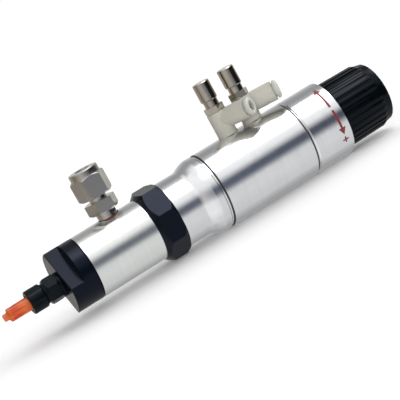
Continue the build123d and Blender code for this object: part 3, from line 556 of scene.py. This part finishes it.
def plus_outline(centre, size):
    """A plus sign on the collar."""
    arm = size / 2
    half = plus_line / 2
    corners = [(half, arm), (half, half), (arm, half), (arm, -half), (half, -half), (half, -arm)]
    corners += [(-x, y) for x, y in reversed(corners)]
    return [(print_x + x, centre + y) for x, y in corners]


def set_camera():
    """The camera at the photograph's viewing angle."""
    azimuth = radians(view_azimuth)
    elevation = radians(view_elevation)
    roll = radians(view_roll)
    back = Vector((sin(azimuth) * cos(elevation), -cos(azimuth) * cos(elevation), sin(elevation)))
    level_right = Vector((cos(azimuth), sin(azimuth), 0))
    level_up = back.cross(level_right)
    right = level_right * cos(roll) + level_up * sin(roll)
    up = level_up * cos(roll) - level_right * sin(roll)
    lens = bpy.data.cameras.new("camera")
    lens.sensor_width = sensor_width
    lens.lens = focal_pixels * sensor_width / picture_side
    lens.clip_start = view_near
    lens.clip_end = view_far
    camera = bpy.data.objects.new("camera", lens)
    turn = Matrix((right, up, back)).transposed().to_4x4()
    camera.matrix_world = Matrix.Translation(view_aim + back * view_distance) @ turn
    bpy.context.scene.collection.objects.link(camera)
    bpy.context.scene.camera = camera


def by_angle(finish, angle, tones):
    """The tone at an angle in radians, from a list of degrees and tones, divided by the brightest."""
    stops = []
    for degrees, tone in tones:
        colour = tone if isinstance(tone, tuple) else (tone, tone, tone)
        stops.append(((degrees + 180.0) / 360.0, tuple(part / brightest for part in colour)))
    share = finish.spread(angle, -pi, pi)
    return finish.node("ShaderNodeValToRGB", {"stops": stops}, {"Fac": share}, "Color")


def between(finish, angle, first, last, to_low=0.0, to_high=1.0):
    """A share that turns from one value to another between two directions in degrees."""
    return finish.spread(angle, radians(first), radians(last), to_low, to_high)


def studio_tones(finish, round_way, height):
    """The colour of the studio in a direction, divided by the brightest tone."""
    to_left = between(finish, round_way, left_starts, left_ends)
    front = by_angle(finish, height, front_tones)
    ahead = finish.blend(to_left, front, by_angle(finish, height, left_tones))
    behind = between(finish, finish.math("ABSOLUTE", round_way), rear_starts, rear_ends)
    around = finish.blend(behind, ahead, by_angle(finish, height, rear_tones))
    dark = between(finish, round_way, dark_starts, dark_ends)
    dark_side = dark * between(finish, round_way, dark_stops, dark_stopped, 1.0, 0.0)
    shown = by_angle(finish, height, room_share) + by_angle(finish, height, dark_foot) * dark_side
    return finish.blend(shown * brightest, around, by_angle(finish, round_way, room_tones))


def set_surroundings():
    """Plain even light, a white backdrop, and for the metal to mirror the studio around the valve."""
    world = bpy.data.worlds.new("studio")
    bpy.context.scene.world = world
    world.use_nodes = True
    finish = Finish(world.node_tree)
    x, y, z = finish.parts(finish.node("ShaderNodeTexCoord", output="Generated"))
    height = finish.math("ARCSINE", z)
    round_way = finish.math("ARCTAN2", x, -1.0 * y)
    falling = between(finish, round_way, plain_falls, plain_fallen, 1.0, right_share)
    plain = falling + between(finish, round_way, plain_rises, plain_risen, 0.0, 1.0 - right_share)
    path = finish.node("ShaderNodeLightPath")
    names = ("Is Camera Ray", "Is Glossy Ray", "Is Transmission Ray", "Diffuse Depth")
    camera, glossy, transmission, scattered = finish.outputs(path, *names)
    passed_on = finish.spread(scattered, 0.0, 1.0, brightest, brightest * metal_glow)

    def light(colour, strength):
        return finish.node("ShaderNodeBackground", inputs={"Color": colour, "Strength": strength})

    def choose(share, first, second):
        inputs = {"Fac": share, "Shader": first, "Shader_001": second}
        return finish.node("ShaderNodeMixShader", inputs=inputs)

    studio = light(studio_tones(finish, round_way, height), passed_on)
    lit = choose(glossy, light(white, plain * world_level), studio)
    seen = choose(camera + transmission, lit, light(white, 1.0))
    finish.node("ShaderNodeOutputWorld", inputs={"Surface": seen})


def table_surface():
    """White paper that is a little lighter to the camera, so that it meets the white backdrop."""
    material = bpy.data.materials.new("white_table")
    material.use_nodes = True
    finish = Finish(material.node_tree)
    paper = finish.node("ShaderNodeBsdfDiffuse", inputs={"Color": table_paper})
    camera = finish.node("ShaderNodeLightPath", output="Is Camera Ray")
    glow = finish.node("ShaderNodeEmission", inputs={"Color": white, "Strength": camera * table_glow})
    both = finish.node("ShaderNodeAddShader", inputs={"Shader": paper, "Shader_001": glow})
    finish.node("ShaderNodeOutputMaterial", inputs={"Surface": both})
    return material


def set_table():
    """A white table under the valve, which keeps its shadow. The metal mirrors the studio's own table."""
    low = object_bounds()[0].z - table_gap
    middle = cad_box[0].x / 3
    mesh = bmesh.new()
    corners = [(-1, -1), (1, -1), (1, 1), (-1, 1)]
    mesh.faces.new([mesh.verts.new((middle + x * table_half, y * table_half, low)) for x, y in corners])
    table = put_in_scene("table", mesh, table_surface())
    table.visible_glossy = False


def set_lamp(name, round_way, height, level, spread):
    """A far soft lamp in that direction, in degrees. A surface that faces it gets that light level."""
    lamp = bpy.data.lights.new(name, "SUN")
    lamp.energy = level * pi
    lamp.angle = radians(spread)
    holder = bpy.data.objects.new(name, lamp)
    way, up = radians(round_way), radians(height)
    towards = Vector((sin(way) * cos(up), -cos(way) * cos(up), sin(up)))
    holder.rotation_euler = towards.to_track_quat("Z", "Y").to_euler()
    holder.visible_glossy = False
    bpy.context.scene.collection.objects.link(holder)


dress_nodes()
for piece_name, edge_width in edge_widths.items():
    round_edges(piece_name, edge_width)
coil_spring("return_coil", "return_spring")
print_on_collar("arrow_up", arrow_outline(7.1 * mm, 19.6 * mm))
print_on_collar("arrow_down", arrow_outline(5.4 * mm, -6.9 * mm))
print_on_collar("plus_sign", plus_outline(-9.5 * mm, 3.0 * mm))
set_camera()
set_surroundings()
set_table()
set_lamp("key_from_right", 82.0, 35.0, 0.87, 70.0)
set_lamp("key_from_behind", 160.0, 48.0, 0.36, 60.0)
set_lamp("front_fill", -25.0, 12.0, 0.58, 50.0)
bpy.context.scene.view_settings.view_transform = "Standard"
